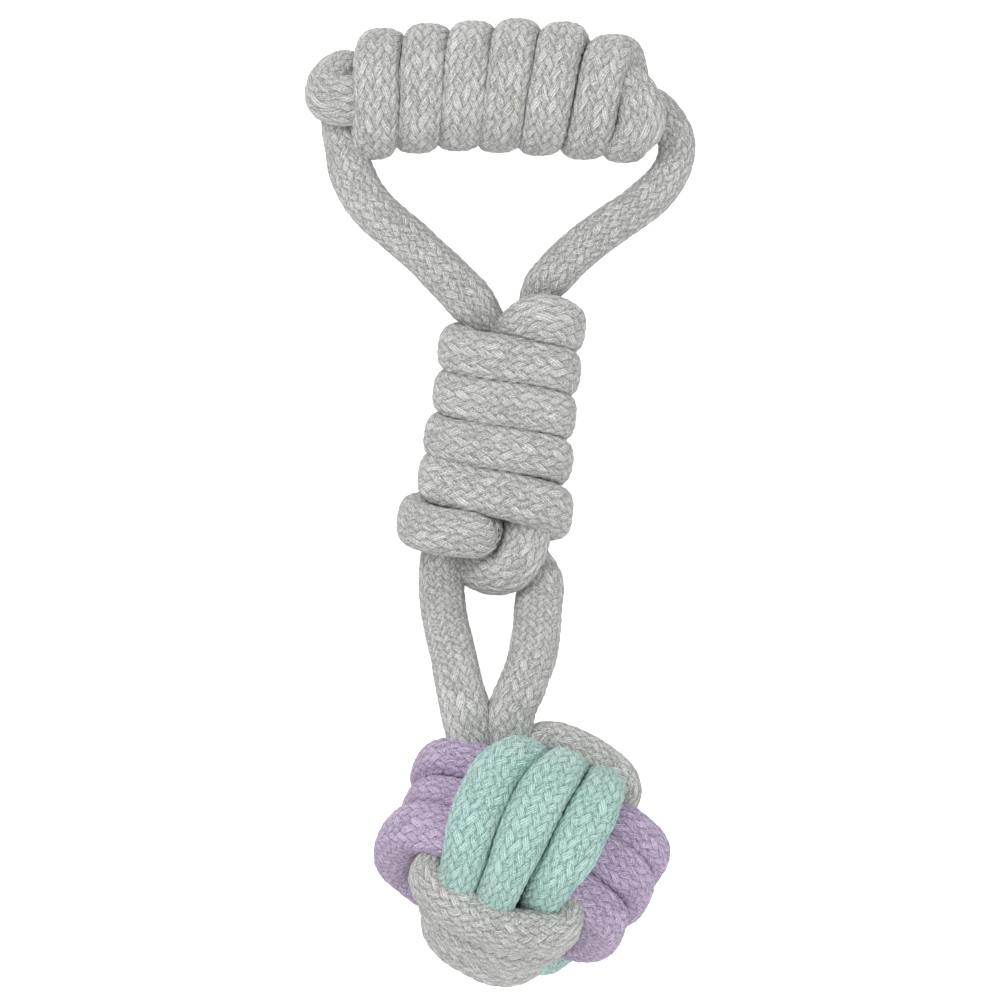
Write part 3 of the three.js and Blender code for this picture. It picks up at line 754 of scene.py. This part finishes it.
class TOY_OT_grip(Operator):
    """Rope wound round the loop, for the hand"""

    bl_idname = "toy.grip"
    bl_label = "Grip winding"

    # Routes of the two ends of the winding, and the point that the last one curls round, mm.
    FIRST_END = ((27.0, 106.4, 19.0), (31.0, 105.0, 21.6), (33.8, 102.0, 23.8), (35.2, 98.0, 25.0),
                 (35.2, 94.0, 24.6))
    LAST_END = ((-38.0, 106.8, 9.4), (-40.4, 106.6, 13.0), (-42.4, 104.2, 16.2), (-42.8, 101.6, 19.4),
                (-41.0, 100.2, 21.8), (-37.0, 100.0, 22.0), (-33.0, 100.4, 19.6))
    LAST_CORE = (-36.0, 103.0, 14.5)
    FIRST_SIZES = (0.66, 0.76, 0.90)  # of the first end's first rows, over the rope's
    LAST_SIZE = 1.06  # of the last end, over the rope's
    WIDTH = 12.0
    DEPTH = 11.4
    SQUARENESS = 2.7  # pressed against the next turns
    START = 0.44  # turn at which the first end goes over into the winding
    SHORT = 0.22  # how much of its last turn the winding lacks
    BACK_SHIFT = 2.4  # how far the first back pass, seen at the top right, lies to the right, mm
    BACK_TURN = (0.86, 0.13)  # where that is, in turns, and over how far

    def execute(self, context):
        turns = np.arange(self.START, len(GRIP_FRONTS) - self.SHORT, 1 / TURN_STEPS)
        angles = 2 * np.pi * turns
        across = self.smoothed(turns, GRIP_FRONTS)
        middle = self.smoothed(turns, GRIP_MIDDLES)
        radius = self.smoothed(turns, GRIP_RADII)
        lean = np.interp(turns, (FRONT, len(GRIP_FRONTS) - 1 + FRONT), GRIP_LEAN)
        across += lean * np.cos(angles) + self.BACK_SHIFT * bump(turns, *self.BACK_TURN)
        points = np.column_stack((
            across, middle + radius * np.cos(angles), GRIP_HEIGHT + radius * np.sin(angles)))
        outs = np.column_stack((np.zeros(len(turns)), np.cos(angles), np.sin(angles)))
        ends = [np.array(rows) for rows in (self.FIRST_END, self.LAST_END)]
        first_outs = (ends[0] - np.array((0, middle[0], GRIP_HEIGHT))) * (0, 1, 1)
        points = np.vstack((ends[0], points, ends[1]))
        outs = np.vstack((unit(first_outs), outs, unit(ends[1] - np.array(self.LAST_CORE))))
        sizes = np.tile((self.WIDTH, self.DEPTH), (len(points), 1))
        sizes[:len(self.FIRST_SIZES)] *= np.array(self.FIRST_SIZES)[:, None]
        sizes[-len(self.LAST_END):] *= self.LAST_SIZE
        rows = np.hstack((points, sizes, outs))
        piece = braided("grip_winding", rows, finishes()["grey"], seed=2, squareness=self.SQUARENESS)
        set_down(piece, "grip", "grey", "grip_wrap")
        return {"FINISHED"}

    def smoothed(self, turns, values):
        """Values given at the front of each turn, run smoothly from one to the next."""
        fronts = np.arange(len(values)) + FRONT
        past = np.concatenate((turns[:TURN_STEPS] - 1, turns, turns[-TURN_STEPS:] + 1))
        step = np.diff(values)
        first, last = values[0] - step[0], values[-1] + step[-1]
        line = np.interp(past, (fronts[0] - 1, *fronts, fronts[-1] + 1), (first, *values, last))
        window = np.hanning(TURN_STEPS)
        return np.convolve(line, window / window.sum(), "same")[TURN_STEPS:-TURN_STEPS]


class TOY_OT_knot(Operator):
    """Rope wrapped round both legs, and its tucked bight"""

    bl_idname = "toy.knot"
    bl_label = "Wrapped knot"

    # Routes of the two ends of the winding and of the bight, mm. The last end is in the knot's own axes.
    FIRST_END = ((-1.6, 40.4, 12.6), (1.6, 42.6, 17.6), (4.8, 44.4, 21.6), (8.8, 45.4, 23.6),
                 (12.6, 45.0, 22.6), (15.4, 43.8, 19.0))
    FIRST_SIZES = (0.45, 0.60, 0.84, 1.02, 1.07, 1.05)  # of the first end's rows, over the rope's
    LAST_END = ((-18.0, 28.6, 3.0), (-16.4, 29.3, 7.6), (-12.6, 29.8, 10.6), (-8.0, 29.8, 11.6),
                (-4.2, 29.8, 10.2), (-2.4, 29.6, 6.0), (-2.2, 29.0, 0.0))
    BIGHT = ((5.4, 3.0, 7.0), (6.2, -1.6, 12.6), (6.8, -6.8, 17.6), (5.8, -12.6, 20.2), (2.6, -16.9, 20.0),
             (-1.8, -17.8, 17.8), (-6.0, -16.0, 13.6), (-9.4, -13.6, 8.0))
    BIGHT_SIZE = (12.0, 11.0)
    BIGHT_SQUARENESS = 2.3
    WIDTH = 12.1
    DEPTH = 11.0
    SQUARENESS = 2.8  # pressed against the next wraps
    TURNS = (-0.50, 4.0)  # where the wraps start and end, counted from the left side over the front
    # Pairs of a turn and a length, mm: how far a wrap is turned level, how much wider it is than the first
    # one and how far it lies to the right.
    LEVEL = ((2.4, 1.2), (3.0, 0.2), (3.5, -0.7), (4.0, 0.0))
    WIDER = ((1.4, 0.0), (2.2, 1.0), (3.2, 1.4), (3.5, 2.0))
    ASIDE = ((1.4, 0.0), (2.4, -0.7), (3.4, 0.0))
    SWING = 3.6  # how far the last wrap swings out to the left, mm
    SWING_TURNS = (3.62, 4.0)
    # Where the last wrap's rope is wider, at both its ends: how much, at which turn and over how far.
    SWELLS = ((1.1, 3.08, 0.10), (1.4, 3.5, 0.14))

    def execute(self, context):
        turns = np.arange(*self.TURNS, 1 / TURN_STEPS)
        angles = 2 * np.pi * turns
        down = KNOT_PITCH * (turns - FRONT) - KNOT_FIRST_FRONT + table(turns, *self.LEVEL) * np.cos(angles)
        half = KNOT_HALF[0] + table(turns, *self.WIDER)
        half += self.SWING * smoothstep(turns, *self.SWING_TURNS)
        across = table(turns, *self.ASIDE) - half * bulged(np.cos(angles), KNOT_SQUARENESS)
        above = KNOT_HALF[1] * bulged(np.sin(angles), KNOT_SQUARENESS)
        points = [knot_point(*place) for place in zip(across, down, above)]
        points = np.array([*self.FIRST_END, *points, *(knot_point(*place) for place in self.LAST_END)])
        axis = np.array((-math.sin(KNOT_TILT), -math.cos(KNOT_TILT), 0.0))
        outs = points - np.array((*KNOT_MIDDLE, KNOT_HEIGHT))
        outs -= np.outer(outs @ axis, axis)
        sizes = np.tile((self.WIDTH, self.DEPTH), (len(points), 1))
        sizes[:len(self.FIRST_END)] *= np.array(self.FIRST_SIZES)[:, None]
        for extra, turn, spread in self.SWELLS:
            sizes[len(self.FIRST_END):-len(self.LAST_END), 0] += extra * bump(turns, turn, spread)
        rows = np.hstack((points, sizes, outs))
        winding = braided("knot_winding", rows, finishes()["grey"], seed=3, squareness=self.SQUARENESS)
        set_down(winding, "knot", "grey", "knot_wrap")
        rows = upward_rows([(*row, *self.BIGHT_SIZE) for row in self.BIGHT], self.WIDTH)
        bight = braided("knot_bight", rows, finishes()["grey"], seed=4, squareness=self.BIGHT_SQUARENESS)
        set_down(bight, "knot", "grey", "knot_tuck")
        return {"FINISHED"}


class TOY_OT_ball(Operator):
    """Three coils of three strands, each under the next, round a wad of rope"""

    bl_idname = "toy.ball"
    bl_label = "Rope ball"

    # For each coil, on its two shown sides: where its three lanes are, how far they stand out, how far they
    # go under the next coil on the low and the high side, and how wide they are, mm. A lone number is for
    # all three lanes.
    COILS = {
        "mint": {
            "lanes": ((-9.4, 3.8, 17.0), (-14.7, -2.2, 10.5)),
            "reach": ((26.6, 28.6, 26.6), (27.2, 29.2, 27.2)),
            "low": (19.0, (23.0, 22.0, 16.0)),
            "high": (20.0, (19.4, 21.0, 22.0)),
            "width": (13.4, 13.0),
            "squareness": 2.9,
        },
        "lilac": {
            "lanes": ((-11.7, -0.8, 9.4), (-9.0, 1.8, 11.6)),
            "reach": ((28.8, 26.8, 28.6), (25.4, 27.8, 27.8)),
            "low": (18.5, 19.5),
            "high": ((24.2, 19.5, 19.5), (18.0, 20.0, 20.0)),
            "width": ((13.2, 10.9, 10.9), 11.4),
            "squareness": 2.8,
        },
        "grey": {
            "lanes": ((-12.3, 0.0, 12.8), (-12.0, 0.0, 12.3)),
            "reach": ((24.8, 25.4, 25.2), (24.8, 25.6, 25.0)),
            "low": ((16.8, 20.0, 29.0), (16.8, 18.6, 14.0)),
            "high": ((17.5, 19.0, 24.5), (21.0, 21.0, 24.0)),
            "width": (13.6, 13.2),
            "squareness": 2.7,
        },
    }
    SHOWN_DEPTH = 11.4  # of a strand where it shows, mm
    COVERED_DEPTH = 8.0  # and where the next coil presses on it
    SQUARENESS = 2.5  # of a strand's section
    COIL_ENDS = (98, 82)  # where a coil starts, and where it ends after its last full turn, degrees
    LANE_STEP = (64, 116)  # where in a turn it moves on by one lane, degrees
    ROW_STEP = 5.0  # from row to row, degrees
    SUNK = 0.28  # how much deeper a coil's two ends lie
    SUNK_DEGREES = 25
    MINT_DRAW = (0.22, 0.18)  # how much closer the mint lanes lie under the grey ones, at top and bottom
    MINT_SWAY = (2.2, 0.5)  # how far they lean to the right there, mm
    GREY_DRAW = (0.38, 0.41)  # how much sooner the foremost grey lane turns under, right and left
    GREY_LIFT = 2.4  # how far the foremost grey lane is lifted at its right end, mm
    # Between which shares of its way out, or of its way under the next coil, each change comes about.
    SIDE_CHANGE = (-0.5, 0.5)
    DEPTH_CHANGE = (0.7, 1.0)
    MINT_DRAW_CHANGE = (0.2, 1.0)
    GREY_DRAW_CHANGE = (0.0, 0.6)
    GREY_LIFT_CHANGE = (0.05, 0.6)
    # Wad inside, a rope wound from pole to pole.
    WAD_ROPE = 8.0  # mm
    WAD_TURNS = 4.5
    WAD_SPAN = (0.08, 0.92)  # share of the way between the poles at which it starts and ends
    WAD_ROWS = 120
    WAD_SAMPLES = 3  # mesh steps over one yarn
    AXES = np.eye(3)  # right, up and front

    def execute(self, context):
        colours = finishes()
        right, up, front = self.AXES
        for seed, (colour, lanes, shown, covered) in enumerate((
                ("mint", right, front, up),
                ("lilac", up, right, front),
                ("grey", front, up, right)), start=5):
            rows = self.coil(colour, lanes, shown, covered)
            piece = braided(
                f"ball_rope_{colour}", rows, colours[colour], seed, self.SQUARENESS, warp=self.placed)
            set_down(piece, "ball", colour, f"ball_coil_{colour}")
        wad = braided(
            "ball_wad", self.wad(), colours["grey"], seed=8, squareness=ROUND, warp=self.placed,
            samples=self.WAD_SAMPLES)
        set_down(wad, "ball", "grey", "ball_core")
        return {"FINISHED"}

    def coil(self, colour, lanes, shown, covered):
        """Rows of a coil in the ball's axes. It moves on by one lane where it is covered, on one side."""
        plan = self.COILS[colour]
        degrees = np.arange(self.COIL_ENDS[0], 360 * BALL_LANES + self.COIL_ENDS[1], self.ROW_STEP)
        angles = np.radians(degrees)
        numbers = np.arange(BALL_LANES) - (BALL_LANES - 1) / 2
        lane = np.full(len(degrees), numbers[0])
        for turn in range(1, BALL_LANES):
            lane += smoothstep(degrees - 360 * turn, *self.LANE_STEP)
        out, under = (bulged(value, plan["squareness"]) for value in (np.cos(angles), np.sin(angles)))
        far = smoothstep(out, *self.SIDE_CHANGE)

        def given(key):
            """What the plan gives for the lane and the side that each row is on."""
            near_side, far_side = (
                np.interp(lane, numbers, np.broadcast_to(side, BALL_LANES)) for side in plan[key])
            return (1 - far) * near_side + far * far_side

        offset, width, reach = given("lanes"), given("width"), given("reach")
        if colour == "mint":
            drawn = smoothstep(np.abs(under), *self.MINT_DRAW_CHANGE)
            closer = 1 - np.where(under > 0, *self.MINT_DRAW) * drawn
            sway = np.where(under > 0, *self.MINT_SWAY) * smoothstep(np.abs(under), 0, 1)
            offset, width = offset * closer + far * sway, width * closer
        elif colour == "grey":
            foremost = smoothstep(lane, 0, 1)
            reach -= self.GREY_LIFT * foremost * (1 - far) * smoothstep(under, *self.GREY_LIFT_CHANGE)
            drawn = smoothstep(1 - np.abs(out), *self.GREY_DRAW_CHANGE)
            under *= 1 - np.where(under > 0, *self.GREY_DRAW) * foremost * drawn
        from_end = np.minimum(degrees - degrees[0], degrees[-1] - degrees)
        sunk = 1 - self.SUNK * (1 - smoothstep(from_end, 0, self.SUNK_DEGREES))
        points = (np.outer(offset, lanes) + np.outer(sunk * out * reach, shown)
                  + np.outer(sunk * under * np.where(under < 0, given("low"), given("high")), covered))
        tangents = np.gradient(points, axis=0)
        outs = np.cross(lanes, tangents)
        outs *= np.sign(np.sum(outs * points, axis=1, keepdims=True))
        rise = smoothstep(np.abs(out), *self.DEPTH_CHANGE)
        depths = self.COVERED_DEPTH + (self.SHOWN_DEPTH - self.COVERED_DEPTH) * rise
        return np.column_stack((points, width, depths, outs))

    def wad(self):
        """Rows of a short rope wound into a ball."""
        share = np.linspace(*self.WAD_SPAN, self.WAD_ROWS)
        polar = np.pi * share
        spin = 2 * np.pi * self.WAD_TURNS * share
        outs = np.column_stack((np.sin(polar) * np.cos(spin), np.sin(polar) * np.sin(spin), np.cos(polar)))
        points = outs * (BALL_CORE - self.WAD_ROPE / 2)
        return np.column_stack((points, np.full((len(points), 2), self.WAD_ROPE), outs))

    def placed(self, rings):
        """The ball turned and put in its place."""
        right = unit(BALL_RIGHT)
        front = unit(np.cross(right, BALL_UP))
        up = np.cross(front, right)
        return rings @ np.array((right, up, front)) + np.array(BALL_MIDDLE)


class TOY_PT_panel(Panel):
    """Sizes, colours and the pieces of the rope toy"""

    bl_idname = "TOY_PT_panel"
    bl_label = "Rope Toy"
    bl_space_type = "VIEW_3D"
    bl_region_type = "UI"
    bl_category = "Rope Toy"

    def draw(self, context):
        for group in (context.scene.toy_rope, context.scene.toy_colours, context.scene.toy_stage):
            box = self.layout.box()
            for name in group.__annotations__:
                box.prop(group, name)
        for operator in OPERATORS:
            self.layout.operator(operator.bl_idname)


OPERATORS = (TOY_OT_stage, TOY_OT_loop_rope, TOY_OT_grip, TOY_OT_knot, TOY_OT_ball)
GROUPS = (("toy_rope", ToyRope), ("toy_colours", ToyColours), ("toy_stage", ToyStage))


def register():
    """Adds the groups, the operators and the panel."""
    for name, group in GROUPS:
        bpy.utils.register_class(group)
        setattr(bpy.types.Scene, name, PointerProperty(type=group))
    for operator in (*OPERATORS, TOY_PT_panel):
        bpy.utils.register_class(operator)


def unregister():
    """Takes them away again."""
    for operator in (TOY_PT_panel, *reversed(OPERATORS)):
        bpy.utils.unregister_class(operator)
    for name, group in reversed(GROUPS):
        delattr(bpy.types.Scene, name)
        bpy.utils.unregister_class(group)


def main():
    """Makes the whole scene."""
    register()
    bpy.ops.toy.stage()
    bpy.ops.toy.loop_rope()
    bpy.ops.toy.grip()
    bpy.ops.toy.knot()
    bpy.ops.toy.ball()


if __name__ == "__main__":
    main()
